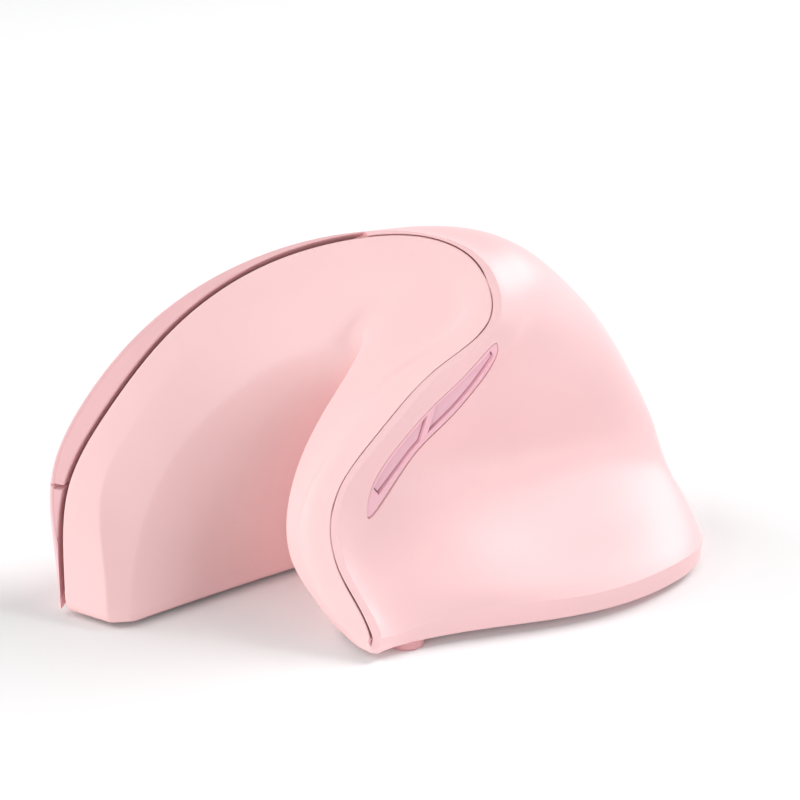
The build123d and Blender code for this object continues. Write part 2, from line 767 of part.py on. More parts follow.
def scroll_wheel():
    """Spoked wheel with axle ends that run in the carrier."""
    place = finger * Pos(wheel_a, 0, wheel_h) * Rot(90, 0, 0)
    rim_radius = wheel_radius - tyre_thickness
    hole_circle = (rim_radius - 1.6 + axle_radius + 1.0) / 2
    wheel = Cylinder(rim_radius, wheel_width) - Cylinder(rim_radius - 1.6, 2 * wheel_width)
    wheel += Cylinder(rim_radius - 1.0, 1.6)
    wheel -= PolarLocations(hole_circle, 5) * Cylinder(spoke_hole_radius, 2 * wheel_width)
    wheel += Cylinder(axle_radius + 1.0, wheel_width)
    into_encoder = encoder_width / 2
    wheel += Pos(0, 0, -into_encoder / 2) * Cylinder(axle_radius, 2 * carrier_half + into_encoder)
    return place * wheel


def scroll_tyre():
    """Soft ring round the wheel, with shallow grip grooves across it."""
    place = finger * Pos(wheel_a, 0, wheel_h) * Rot(90, 0, 0)
    tyre = Cylinder(wheel_radius, tyre_width) - Cylinder(wheel_radius - tyre_thickness, 2 * tyre_width)
    tyre -= PolarLocations(wheel_radius + 0.1, 24) * Cylinder(0.5, 2 * tyre_width)
    return place * tyre


def wheel_carrier():
    """Rocking fork that holds the wheel; its front bar stands over the press switch."""
    low, high = wheel_h - 2.3, wheel_h + 1.8
    rear = (carrier_pin_a - 1.9, carrier_pin_a + 1.3)
    bar = (carrier_cut_a[1] + 0.2, press_switch[0] + 1.6)
    sides = (-carrier_half, carrier_half)
    carrier = block(finger, rear, sides, (carrier_pin_h - 1.9, carrier_pin_h + 1.9))
    carrier += block(finger, bar, sides, (press_bar_bottom, press_bar_bottom + 2.0))
    for side in (-1, 1):
        limits = sorted((side * (carrier_half - wheel_arm), side * carrier_half))
        arm = [(rear[0], carrier_pin_h - 1.9), (wheel_a - 3, low), (bar[0], press_bar_bottom),
               (bar[1], press_bar_bottom), (bar[1], press_bar_bottom + 2.0), (wheel_a + 4, high),
               (wheel_a - 4, high), (rear[0], carrier_pin_h + 1.9)]
        face = make_face(Polyline(*[(a, h) for a, h in arm], close=True))
        carrier += finger * Pos(0, limits[1], 0) * Rot(90, 0, 0) * extrude(face, wheel_arm)
    carrier += cross_rod(carrier_pin_a, carrier_pin_h, carrier_pin_radius, 2 * (carrier_side + ear_width))
    return carrier - cross_rod(wheel_a, wheel_h, axle_radius + seat_gap, 4 * carrier_side)


def wheel_encoder():
    """Turn sensor on the fork's upper arm, with the axle end inside it."""
    case = block(finger, (wheel_a - 3.4, wheel_a + 3.4), (carrier_half, carrier_half + encoder_width),
                 (wheel_h - 2.6, wheel_h + 2.6))
    return case - cross_rod(wheel_a, wheel_h, axle_radius + seat_gap, 4 * carrier_side)


def dpi_oval(h, grow=0.0):
    oval = SlotOverall(dpi_length + 2 * grow, dpi_width + 2 * grow)
    return finger * Pos(*dpi_at, h[0]) * extrude(oval, h[1] - h[0])


def dpi_slot(grow):
    return dpi_oval((dpi_flange[1], plate_space_high), grow)


def dpi_button():
    """Small oval button behind the wheel, with a stop flange behind the skin."""
    return dpi_oval((dpi_bottom, dpi_top)) + dpi_oval(dpi_flange, 1.0)


def dpi_switch():
    return tact_switch(finger, *dpi_at, click_board_h)


bay = Pos(bay_x, bay_y, 0) * Rot(0, 0, bay_turn)


def base_plate():
    """The floor of the mouse: battery bay, door recess, sensor window and screw holes."""
    levels = [room_core.intersect(Plane.XY.offset(z)).faces()[0] for z in (foot_height, base_top)]
    plate = Solid.make_loft([level.outer_wire() for level in levels], ruled=True)
    plate -= inner_cutter
    plate -= right_plate_space(seam_gap)
    plate -= block(world, (-body_width, body_width), (base_rear, body_length), (0, body_height))
    high = 2 * body_height
    half = battery_radius + door_gap
    plate -= block(bay, (-half, half), (1.0, door_rear - 1.0), (0, high))
    plate -= block(bay, (-door_half - door_gap, door_half + door_gap), (-door_travel, door_rear + door_gap),
                   (0, foot_height + door_thickness + door_gap))
    for y in (-bay_wall - contact_thickness, bay_length + contact_thickness + seat_gap):
        plate += block(bay, (-half, half), (y, y + bay_wall), (base_top - 0.5, battery_z + 1.0))
    plate -= block(world, (sensor_x - 4, sensor_x + 4), (sensor_y - 3.5, sensor_y + 3.5), (0, high))
    plate -= block(world, (power_x - 3, power_x + 3), (power_y - 1.8, power_y + 1.8), (0, high))
    for x, y in board_posts:
        plate += rod(world, x, y, (base_top - 0.5, main_board_bottom), 2.0)
    for x, y in [*shell_screws, frame_screw]:
        plate -= rod(world, x, y, (0, high), screw_radius + 0.2)
        plate -= rod(world, x, y, (0, foot_height + head_recess), screw_head_radius + 0.2)
    for x, y in board_screws_at:
        plate -= rod(world, x, y, (base_top - 0.6, high), screw_radius + seat_gap)
    return largest(plate)


board_screws_at = [board_posts[1], board_posts[2]]


def battery_door():
    """Sliding cover flush with the underside, with a grooved thumb pad."""
    door = block(bay, (-door_half, door_half), (0, door_rear), (foot_height, foot_height + door_thickness))
    for i in range(5):
        y = 4 + 1.8 * i
        door -= block(bay, (-4, 4), (y, y + 0.8), (0, foot_height + 0.4))
    return door


def battery():
    place = bay * Pos(0, spring_length, battery_z) * Rot(-90, 0, 0)
    can_length = battery_length - nub_length
    can = Pos(0, 0, can_length / 2) * Cylinder(battery_radius, can_length)
    can = chamfer(can.edges().filter_by(GeomType.CIRCLE), 0.4)
    return place * (can + Pos(0, 0, battery_length - nub_length / 2) * Cylinder(nub_radius, nub_length))


def battery_contact_positive():
    return block(bay, (-contact_half, contact_half), (bay_length, bay_length + contact_thickness),
                 (base_top + seat_gap, battery_z + contact_half))


def battery_contact_spring():
    """Flat contact with a tapered coil that presses the cell towards the other contact."""
    contact = block(bay, (-contact_half, contact_half), (-contact_thickness, 0),
                    (base_top + seat_gap, battery_z + contact_half))
    reach = spring_length - spring_wire
    turns = spring_turns
    coil = Helix(reach / turns, reach, 3.0, cone_angle=-10)
    wire = Plane(origin=coil @ 0, z_dir=coil % 0) * Circle(spring_wire / 2)
    spring = sweep(wire, path=coil)
    return contact + bay * Pos(0, spring_wire / 2 - 0.1, battery_z) * Rot(-90, 0, 0) * spring


def main_pcb():
    limits_x, limits_y = main_board
    top = main_board_bottom + board_thickness
    board = block(world, limits_x, limits_y, (main_board_bottom, top)) & room
    board -= block(world, (sensor_x - 4.2, sensor_x + 4.2), (sensor_y - 3.0, sensor_y + 3.0), (0, top))
    for x, y in board_screws_at:
        board -= rod(world, x, y, (0, top), screw_radius + 0.1)
    for x, y in shell_screws:
        board -= rod(world, x, y, (0, top), boss_radius + 0.5)
    return largest(board)


def optical_sensor():
    """The sensor chip lies over its window in the board."""
    top = main_board_bottom + board_thickness
    chip = block(world, (sensor_x - 6, sensor_x + 6), (sensor_y - 4.5, sensor_y + 4.5), (top, top + 2.2))
    return chip - rod(world, sensor_x, sensor_y, (top - 1, top + 0.8), 1.5)


def sensor_lens():
    """Clear plate between base and board, with its lens in the window."""
    lens = block(world, (sensor_x - 7, sensor_x + 7), (sensor_y - 5, sensor_y + 5), (base_top, base_top + 1.4))
    lens += block(world, (sensor_x - 3.6, sensor_x + 3.6), (sensor_y - 2.6, sensor_y + 2.6),
                  (base_top, main_board_bottom + 0.6))
    return lens + rod(world, sensor_x, sensor_y, (foot_height + 1.0, base_top), 2.2)


def controller_chip():
    top = main_board_bottom + board_thickness
    return block(world, (chip_x - 3.5, chip_x + 3.5), (chip_y - 3.5, chip_y + 3.5), (top, top + 0.9))


def power_switch_body():
    case = block(world, (power_x - 4.5, power_x + 4.5), (power_y - 2.4, power_y + 2.4),
                 (base_top + seat_gap, main_board_bottom))
    return case - block(world, (power_x - 2.6, power_x + 2.6), (power_y - 1.2, power_y + 1.2), (0, base_top + 1.8))


def power_switch_knob():
    x = power_x - power_travel / 2
    knob = block(world, (x - 1.6, x + 1.6), (power_y - 1.4, power_y + 1.4), (foot_height + 0.4, base_top - 0.3))
    for i in (-1, 0, 1):
        knob -= block(world, (x + i - 0.2, x + i + 0.2), (power_y - 2, power_y + 2), (0, foot_height + 0.7))
    return knob + block(world, (x - 0.8, x + 0.8), (power_y - 0.7, power_y + 0.7), (foot_height + 1, base_top + 1.3))


def glide_feet():
    """Low pads under the finger leg, the thumb lobe, the heel and the thumb rest."""
    pads = []
    for x, y, length, width, turn in feet:
        pad = Pos(x, y, 0) * Rot(0, 0, turn) * extrude(SlotOverall(length, width), foot_height)
        pads.append(chamfer(pad.edges().group_by(Axis.Z)[0], 0.4))
    return Compound([pad.solids()[0] for pad in pads])


def base_screws():
    place = Rot(180, 0, 0)
    return Compound([
        screw(Pos(x, y, foot_height + head_recess) * place, screw_length).solids()[0]
        for x, y in [*shell_screws, frame_screw]
    ])


def main_pcb_screws():
    top = main_board_bottom + board_thickness
    return Compound([screw(Pos(x, y, top), 4.4).solids()[0] for x, y in board_screws_at])


# The finished pieces are moved so that the origin lies below the middle of their common box.
def centred(shape):
    return Pos(*to_centre, 0) * shape


nodes = [
    front_fascia, body_shell, left_click_button, right_click_button, thumb_bezel, forward_button, back_button,
    thumb_pcb, forward_switch, back_switch, click_frame, click_pcb, click_frame_screws, left_click_switch,
    right_click_switch, wheel_press_switch, scroll_wheel, scroll_tyre, wheel_carrier, wheel_encoder, dpi_button,
    dpi_switch, base_plate, battery_door, battery, battery_contact_positive, battery_contact_spring, main_pcb,
    optical_sensor, sensor_lens, controller_chip, power_switch_body, power_switch_knob, glide_feet, base_screws,
    main_pcb_screws,
]
os.makedirs("parts", exist_ok=True)
for make in nodes:
    export_step(centred(make()), f"parts/{make.__name__}.step")
    print(make.__name__)
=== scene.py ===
import json
import math
import bpy
import numpy as np
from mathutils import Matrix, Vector


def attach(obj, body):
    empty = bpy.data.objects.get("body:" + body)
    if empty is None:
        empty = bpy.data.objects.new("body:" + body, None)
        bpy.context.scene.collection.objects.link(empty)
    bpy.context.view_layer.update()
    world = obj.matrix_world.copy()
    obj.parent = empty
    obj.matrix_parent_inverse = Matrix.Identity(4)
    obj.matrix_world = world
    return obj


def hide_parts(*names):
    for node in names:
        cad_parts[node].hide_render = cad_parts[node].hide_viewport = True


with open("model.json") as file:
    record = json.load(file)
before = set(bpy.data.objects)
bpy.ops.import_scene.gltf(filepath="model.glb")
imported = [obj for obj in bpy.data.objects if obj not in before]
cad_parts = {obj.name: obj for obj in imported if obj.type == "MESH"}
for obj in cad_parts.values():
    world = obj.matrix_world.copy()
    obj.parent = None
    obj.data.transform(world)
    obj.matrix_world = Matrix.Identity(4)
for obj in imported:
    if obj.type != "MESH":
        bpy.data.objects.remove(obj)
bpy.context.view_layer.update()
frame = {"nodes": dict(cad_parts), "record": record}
nodes = frame["nodes"]
print("frame loaded")


# Materials: a wire is one socket that can be added to or multiplied by a number or another wire
class Wire:
    def __init__(self, finish, socket):
        self.finish = finish
        self.socket = socket

    def calc(self, operation, *terms):
        return self.finish.node("ShaderNodeMath", {"operation": operation}, dict(enumerate(terms)))

    def __add__(self, other):
        return self.calc("ADD", self, other)

    def __radd__(self, other):
        return self.calc("ADD", other, self)

    def __mul__(self, other):
        return self.calc("MULTIPLY", self, other)

    def __rmul__(self, other):
        return self.calc("MULTIPLY", other, self)

    def ramp(self, low, high):
        return self.finish.node("ShaderNodeMapRange", {"interpolation_type": "SMOOTHSTEP"},
                                {"Value": self, "From Min": low, "From Max": high})


# A material with one Principled shader; numbers go on its sockets, wires vary over the surface
class Finish:
    def __init__(self, name, **numbers):
        self.material = bpy.data.materials.new(name)
        self.material.use_nodes = True
        self.tree = self.material.node_tree
        self.shader = self.tree.nodes["Principled BSDF"]
        for key, value in numbers.items():
            self.shader.inputs[key.replace("_", " ")].default_value = value
        self.place = self.node("ShaderNodeTexCoord", output="Object")

    def node(self, kind, settings=None, inputs=None, output=None):
        made = self.tree.nodes.new(kind)
        for key, value in (settings or {}).items():
            setattr(made, key, value)
        for key, value in (inputs or {}).items():
            if isinstance(value, Wire):
                self.tree.links.new(value.socket, made.inputs[key])
            else:
                made.inputs[key].default_value = value
        if output is None:
            sockets = [s for s in made.outputs if s.enabled]
            return Wire(self, sockets[0])
        return Wire(self, made.outputs[output])

    def drive(self, key, wire):
        self.tree.links.new(wire.socket, self.shader.inputs[key])

    def noise(self, scale, detail=2.0, rough=0.5):
        return self.node("ShaderNodeTexNoise", {}, {"Vector": self.place, "Scale": scale, "Detail": detail,
                                                    "Roughness": rough}, "Fac")

    def mix(self, factor, first, second):
        def colour(value):
            return value if isinstance(value, Wire) else (*value, 1.0)
        return self.node("ShaderNodeMix", {"data_type": "RGBA"},
                         {"Factor": factor, 6: colour(first), 7: colour(second)}, 2)

    def bump(self, height, strength, distance):
        levels = {"Height": height, "Strength": strength, "Distance": distance}
        normal = self.node("ShaderNodeBump", {}, levels, "Normal")
        self.drive("Normal", normal)


# Turns a colour as seen on a screen into the linear colour of a shader
def tint(red, green, blue):
    def linear(value):
        value = value / 255
        return value / 12.92 if value <= 0.04045 else ((value + 0.055) / 1.055) ** 2.4
    return linear(red), linear(green), linear(blue)


# What the materials share; scales are per metre and the grain's depth is in metres
surface = {"cloudScale": 38.0, "cloudRamp": (0.3, 0.7), "grainDepth": 0.0001, "glossSpread": 0.1,
           "lineScale": 900.0, "lineShade": 0.8, "lineStrength": 0.15, "lineSpread": 0.16}


# Moulded plastic: a faint cloudy change of tint, a fine spark-eroded grain and slightly uneven gloss
def plastic(name, screen, rough=0.42, grain=0.12, change=0.03, grainScale=2600.0, coat=0.0):
    finish = Finish(name, IOR=1.46, Coat_Weight=coat, Coat_Roughness=0.2)
    base = tint(*screen)
    darker = tuple(c * (1 - change) for c in base)
    clouds = finish.noise(surface["cloudScale"], 3.0)
    finish.drive("Base Color", finish.mix(clouds.ramp(*surface["cloudRamp"]), darker, base))
    speck = finish.noise(grainScale, 2.0, 0.6)
    finish.drive("Roughness", rough - surface["glossSpread"] / 2 + surface["glossSpread"] * speck)
    finish.bump(speck, grain, surface["grainDepth"])
    return finish.material


# Drawn or pressed metal: fine lines that change its tint and gloss
def metal(name, screen, rough=0.3, stretch=(1.0, 1.0, 1.0)):
    finish = Finish(name, Metallic=1.0)
    along = finish.node("ShaderNodeVectorMath", {"operation": "MULTIPLY"}, {0: finish.place, 1: stretch})
    lines = finish.node("ShaderNodeTexNoise", {},
                        {"Vector": along, "Scale": surface["lineScale"], "Detail": 3.0}, "Fac")
    base = tint(*screen)
    darker = tuple(c * surface["lineShade"] for c in base)
    finish.drive("Base Color", finish.mix(lines, darker, base))
    finish.drive("Roughness", rough - surface["lineSpread"] / 2 + surface["lineSpread"] * lines)
    finish.bump(lines, surface["lineStrength"], surface["grainDepth"])
    return finish.material


materials = {
    "face_plastic": plastic("facePink", (252, 208, 208), 0.45),
    "shell_plastic": plastic("shellPink", (252, 208, 210), 0.42),
    "click_plastic": plastic("clickPink", (240, 190, 193), 0.4),
    "recess_plastic": plastic("recessPink", (248, 196, 208), 0.35),
    "thumb_button_plastic": plastic("buttonMauve", (240, 190, 204), 0.25, 0.05, coat=0.4),
    "frame_plastic": plastic("frameWhite", (226, 222, 216), 0.5),
    "base_plastic": plastic("basePink", (236, 190, 192), 0.55, 0.25),
    "wheel_plastic": plastic("wheelPink", (222, 172, 180), 0.35),
    "wheel_rubber": plastic("wheelRubber", (170, 128, 134), 0.7, 0.3, 0.08, 1800.0),
    "knob_plastic": plastic("knobPink", (196, 146, 154), 0.4),
    "foot_plastic": plastic("footPink", (220, 160, 164), 0.3, 0.05),
    "switch_black": plastic("switchBlack", (40, 40, 42), 0.45),
    "circuit_board": plastic("boardGreen", (38, 110, 72), 0.35, 0.1, 0.15, 700.0, coat=0.3),
    "cell_jacket": plastic("cellJacket", (54, 60, 72), 0.25, 0.03, coat=0.6),
    "screw_steel": metal("screwSteel", (190, 190, 192), 0.32),
    "contact_steel": metal("contactSteel", (212, 208, 198), 0.22, (1.0, 1.0, 6.0)),
    "lens_clear": plastic("lensClear", (222, 228, 230), 0.1, 0.0, coat=0.6),
}
for entry in frame["record"]["subparts"]:
    mesh = nodes[entry["node"]].data
    mesh.materials.clear()
    mesh.materials.append(materials[entry["material_slot"]])
print("materials made")


# Slope at a spline's start: that of the cubic through its first four points
def endSlope(at, knots):
    weights = []
    for i in range(4):
        a, b, c = (at[j] for j in range(4) if j != i)
        above = sum((at[0] - p) * (at[0] - q) for p, q in ((a, b), (b, c), (a, c)))
        weights.append(above / ((at[i] - a) * (at[i] - b) * (at[i] - c)))
    return np.array(weights) @ knots[:4]


# Surfaces: a spline runs through key points by chord length, and a sheet is a grid of points
def splineThrough(points, shares):
    knots = np.asarray(points, float)
    steps = np.linalg.norm(np.diff(knots, axis=0), axis=1)
    at = np.concatenate([[0.0], np.cumsum(steps)]) / steps.sum()
    count, gaps = len(at), np.diff(at)
    left, right = np.zeros((count, count)), np.zeros_like(knots)
    inner = np.arange(1, count - 1)
    left[inner, inner - 1], left[inner, inner + 1] = gaps[:-1], gaps[1:]
    left[inner, inner] = 2 * (gaps[:-1] + gaps[1:])
    left[0, :2], left[-1, -2:] = (2 * gaps[0], gaps[0]), (gaps[-1], 2 * gaps[-1])
    slopes = np.diff(knots, axis=0) / gaps[:, None]
    right[1:-1] = 6 * np.diff(slopes, axis=0)
    right[0] = 6 * (slopes[0] - endSlope(at, knots))
    right[-1] = 6 * (endSlope(at[::-1], knots[::-1]) - slopes[-1])
    bends = np.linalg.solve(left, right)
    shares = np.asarray(shares, float)
    low = np.clip(np.searchsorted(at, shares, side="right") - 1, 0, count - 2)
    past, gap = (shares - at[low])[:, None], gaps[low][:, None]
    first, second = bends[low], bends[low + 1]
    # S = P + (slope - gap (2 M0 + M1) / 6) x + M0 x^2 / 2 + (M1 - M0) x^3 / (6 gap)
    return (knots[low] + (slopes[low] - gap * (2 * first + second) / 6) * past + first * past ** 2 / 2
            + (second - first) * past ** 3 / (6 * gap))


def makeSheet(name, grid):
    rows, columns = grid.shape[:2]
    mesh = bpy.data.meshes.new(name)
    corner = np.arange(rows * columns).reshape(rows, columns)
    quads = np.stack([corner[:-1, :-1], corner[:-1, 1:], corner[1:, 1:], corner[1:, :-1]], -1)
    quads = quads.reshape(-1, 4)
    mesh.vertices.add(rows * columns)
    mesh.vertices.foreach_set("co", grid.reshape(-1).astype(np.float32))
    mesh.loops.add(quads.size)
    mesh.loops.foreach_set("vertex_index", quads.reshape(-1).astype(np.int32))
    mesh.polygons.add(len(quads))
    mesh.polygons.foreach_set("loop_start", (np.arange(len(quads)) * 4).astype(np.int32))
    mesh.polygons.foreach_set("use_smooth", np.full(len(quads), True))
    mesh.update(calc_edges=True)
    piece = bpy.data.objects.new(name, mesh)
    bpy.context.scene.collection.objects.link(piece)
    return piece


# Front face: one sheet from its rim over two soft bands into the hollow, in the front rim's own plane.
# The lists hold (across, up, depth) in millimetres, from the finger leg's foot round to the thumb lobe's.
face = {
    "origin": (4.0, -44.03, 0.0),
    "across": (0.839, 0.544, 0.0),
    "up": (-0.291, 0.449, 0.845),
    "centre": (1.07, 1.76, 0.0),
    "foot": (1.0, 1.8),
    "rim": [(-34.4, -6.0, 0), (-38.8, 12.6, 0), (-40.5, 27.3, 0), (-35.3, 43.0, 0), (-23.4, 62.7, 0),
            (-9.2, 75.3, 0), (12.0, 83.9, 0), (27.1, 84.8, 0), (37.4, 79.4, 0), (39.9, 72.4, 0),
            (32.0, 60.5, 0), (21.3, 45.0, 0), (15.4, 30.5, 0), (17.7, 17.0, 0), (25.4, 6.5, 0),
            (26.0, -6.0, 0)],
    "band": [(-25.6, -6.0, -2.8), (-29.4, 12.6, -1.6), (-33.0, 27.0, -0.4), (-29.0, 42.0, 0.6),
             (-17.6, 60.0, 1.2), (-5.0, 70.6, 1.4), (11.0, 77.2, 1.4), (23.5, 78.0, 1.4), (32.0, 75.4, 1.4),
             (33.9, 71.0, 1.4), (26.0, 59.8, 1.4), (15.4, 44.5, 1.4), (9.2, 30.0, 1.4), (12.0, 17.0, 1.4),
             (21.0, 5.2, 1.4), (22.0, -6.0, 1.4)],
    "crease": [(-20.0, -6.0, -1.5), (-23.6, 12.8, 0.8), (-23.2, 27.5, 3.0), (-17.8, 41.4, 4.4),
               (-9.2, 51.8, 5.0), (0.4, 58.8, 5.0), (9.0, 63.6, 5.0), (12.0, 65.8, 5.0), (13.4, 65.8, 5.0),
               (13.6, 63.6, 5.0), (11.8, 58.0, 5.0), (7.4, 47.5, 5.0), (3.8, 31.0, 5.0), (7.0, 17.4, 5.0),
               (17.4, 5.8, 5.0), (18.6, -6.0, 5.0)],
    # the innermost line holds (x, z) at the depth endY, and the spine behind it holds its x and its highest z
    "end": [(-13.4, -6.0), (-13.6, 12.0), (-13.2, 21.0), (-12.0, 28.5), (-10.0, 33.5), (-7.6, 36.8),
            (-4.6, 38.6), (-3.0, 39.0), (-1.4, 38.8), (0.2, 37.8), (2.2, 34.8), (3.4, 29.5), (3.6, 22.0),
            (3.2, 13.0), (3.0, 6.0), (3.0, -6.0)],
    "endY": -4.0,
    "spine": (-4.6, 33.0),
    # softness of the corners at the rim, band, crease and end: everywhere, more on top, more on the lobe
    "softness": [(0.4, 0.0, 0.0), (0.5, 1.5, 2.8), (0.7, 1.8, 1.2), (3.0, 0.0, 0.0)],
    "top": (0.52, 0.14),
    "lobe": (0.66, 0.03),
    # the outline is sampled at "lines" points; the sheet keeps "rows" between its feet and "footRows" over
    # the "footShare" of its length at each foot
    "lines": 1600,
    "rows": 400,
    "footShare": 0.016,
    "footRows": 14,
    "wall": 2.0,
    "thickness": 0.7,
    "footRadius": (3.2, 6.0),
    "footLift": (0.0, 1.0),
    "flush": 9.0,
    # (share of the rim, reach in millimetres)
    "reach": [(0.6, 0), (0.62, 0.5), (0.64, 1.28), (0.66, 1.32), (0.68, 1.08), (0.7, 0.88), (0.74, 0.8),
              (0.76, 0.75), (0.78, 0.6), (0.8, 0.36), (0.82, 0.08), (0.84, 0.04), (0.86, 0.3), (0.88, 0.66),
              (0.9, 0.8), (1.0, 0.75)],
}


def onFront(points):
    across, up = np.array(face["across"]), np.array(face["up"])
    uvd = np.asarray(points, float)
    inPlane = np.array(face["origin"]) + uvd[:, :1] * across + uvd[:, 1:2] * up
    return inPlane - uvd[:, 2:3] * np.cross(across, up)


# Rows R0 to Rn joined by straight runs whose corners are rounded: between A = R + d (Rbefore - R) / |..|
# and B = R + d (Rafter - R) / |..| runs the arc (1 - u)^2 A + 2 u (1 - u) R + u^2 B, where d is at most
# 0.45 of a run
def acrossRows(rows, cuts, arcSteps=9, runSteps=10):
    pieces = []
    start = rows[0]
    arc = np.linspace(0, 1, arcSteps)[None, :-1, None]
    run = np.linspace(0, 1, runSteps, endpoint=False)[None, :, None]
    for before, corner, after, cut in zip(rows[:-2], rows[1:-1], rows[2:], cuts):
        into, away = before - corner, after - corner
        a = corner + into * np.minimum(cut / np.linalg.norm(into, axis=1), 0.45)[:, None]
        b = corner + away * np.minimum(cut / np.linalg.norm(away, axis=1), 0.45)[:, None]
        pieces.append(start[:, None] * (1 - run) + a[:, None] * run)
        pieces.append((1 - arc) ** 2 * a[:, None] + 2 * arc * (1 - arc) * corner[:, None]
                      + arc ** 2 * b[:, None])
        start = b
    last = np.linspace(0, 1, runSteps)[None, :, None]
    pieces.append(start[:, None] * (1 - last) + rows[-1][:, None] * last)
    return np.concatenate(pieces, 1)


def makeFrontFace():
    fine = np.linspace(0, 1, face["lines"])
    out = np.cross(face["across"], face["up"])
    rim = splineThrough(onFront(face["rim"]), fine)
    # the rim reaches out on the thumb's side until it lies about a quarter of a millimetre from the shell
    reach = np.interp(fine, *zip(*face["reach"]))
    aside = np.cross(out, np.gradient(rim, axis=0))
    rim = rim + aside / np.linalg.norm(aside, axis=1, keepdims=True) * reach[:, None]
    band = splineThrough(onFront(face["band"]), fine)
    crease = splineThrough(onFront(face["crease"]), fine)
    end = splineThrough([(x, face["endY"], z) for x, z in face["end"]], fine)
    spine = end.copy()
    spine[:, 0] = face["spine"][0]
    spine[:, 2] = np.minimum(spine[:, 2], face["spine"][1])
    # softness of each corner in millimetres along the outline: crisp at the finger leg's foot, soft on top
    top = np.exp(-((fine - face["top"][0]) / face["top"][1]) ** 2)
    lobe = 1 / (1 + np.exp(-(fine - face["lobe"][0]) / face["lobe"][1]))
    rows = [rim - out * face["wall"], rim, band, crease, end, spine]
    cuts = [always + onTop * top + onLobe * lobe for always, onTop, onLobe in face["softness"]]
    grid = acrossRows(rows, cuts)
    # each line across is cut where it meets the foot's level, and turns in there by a small radius
    legLevel, lobeLevel = face["foot"]
    peaks = [(column, int(np.argmax(column))) for column in grid[:, :, 2].T]
    first = np.array([np.interp(legLevel, column[:peak], fine[:peak]) for column, peak in peaks])
    last = np.array([np.interp(-lobeLevel, -column[peak:], fine[peak:]) for column, peak in peaks])
    foot, footRows = face["footShare"], face["footRows"]
    along = np.concatenate([np.linspace(0, foot, footRows), np.linspace(foot, 1 - foot, face["rows"])[1:-1],
                            np.linspace(1 - foot, 1, footRows)])
    wanted = first[None, :] + along[:, None] * (last - first)[None, :]
    spot = wanted * (len(fine) - 1)
    low = np.clip(spot.astype(int), 0, len(fine) - 2)
    part = (spot - low)[:, :, None]
    columns = np.arange(grid.shape[1])[None, :]
    sheet = grid[low, columns] * (1 - part) + grid[low + 1, columns] * part
    # the foot is rounded under: a point at height h above it moves back by r - sqrt(r^2 - (r - h)^2),
    # and on the lobe that grows from nothing at the rim, which stays flush with the shell
    onLeg = along[:, None] < 0.5
    radius = np.where(onLeg, *face["footRadius"])
    height = sheet[:, :, 2] - np.where(onLeg, legLevel, lobeLevel) + np.where(onLeg, *face["footLift"])
    under = np.clip(radius - height, 0, radius)
    walked = np.cumsum(np.linalg.norm(np.diff(sheet, axis=1), axis=2), axis=1)
    wallEnd = int(np.argmin(np.abs(walked.mean(0) - face["wall"])))
    past = walked - walked[:, wallEnd:wallEnd + 1]
    past = np.clip(np.concatenate([np.zeros((len(sheet), 1)), past], 1) / face["flush"], 0, 1)
    share = np.where(onLeg, 1.0, past ** 2 * (3 - 2 * past))
    backward = np.array([out[0], out[1], 0]) / -np.hypot(out[0], out[1])
    sheet = sheet + backward * (share * (radius - np.sqrt(radius ** 2 - under ** 2)))[:, :, None]
    piece = makeSheet("frontFace", (sheet + np.array(face["centre"])) / 1000)
    solid = piece.modifiers.new("wall", "SOLIDIFY")
    solid.thickness = face["thickness"] / 1000
    solid.offset = -1.0
    piece.data.materials.append(materials["face_plastic"])
    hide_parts("front_fascia")
    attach(piece, "shell")


makeFrontFace()
print("front face made")


# Edge of a click plate: a bar along the finger slot, between the plate's wall and the slot.
# "gap" holds (share of the rim, distance from the rim to the plate's wall) in millimetres. The bar's front
# reaches "into" the wall, its back stops "short" of it, and "lean" is a share of the rim per millimetre back.
edge = {
    "slot": 1.0,
    "gap": [(0.095, 1.15), (0.1, 1.35), (0.12, 2.22), (0.14, 3.18), (0.16, 4.04), (0.18, 4.57), (0.2, 4.87),
            (0.22, 4.99), (0.24, 4.92), (0.26, 4.67), (0.28, 4.26), (0.3, 3.7), (0.32, 3.04), (0.34, 2.36),
            (0.36, 1.7), (0.385, 1.05)],
    "into": 0.25,
    "short": 0.7,
    "least": 0.05,
    "front": 0.05,
    "back": 2.2,
    "round": 0.4,
    "lean": 0.0033,
    "rings": 120,
    "roundSteps": 7,
}


# A closed bar through rings of points; "smooth" lists the sides, counted round a ring, that look rounded
def makeBar(name, rings, smooth):
    count, around = rings.shape[:2]
    corner = np.arange(count * around).reshape(count, around)
    ahead = np.roll(corner, -1, 1)
    quads = np.stack([corner[:-1], ahead[:-1], ahead[1:], corner[1:]], -1).reshape(-1, 4)
    faces = quads.tolist() + [corner[0, ::-1].tolist(), corner[-1].tolist()]
    mesh = bpy.data.meshes.new(name)
    mesh.from_pydata((rings.reshape(-1, 3) / 1000).tolist(), [], faces)
    curved = np.isin(np.arange(len(faces)) % around, smooth) & (np.arange(len(faces)) < len(quads))
    mesh.polygons.foreach_set("use_smooth", curved)
    mesh.update()
    bar = bpy.data.objects.new(name, mesh)
    bpy.context.scene.collection.objects.link(bar)
    return bar


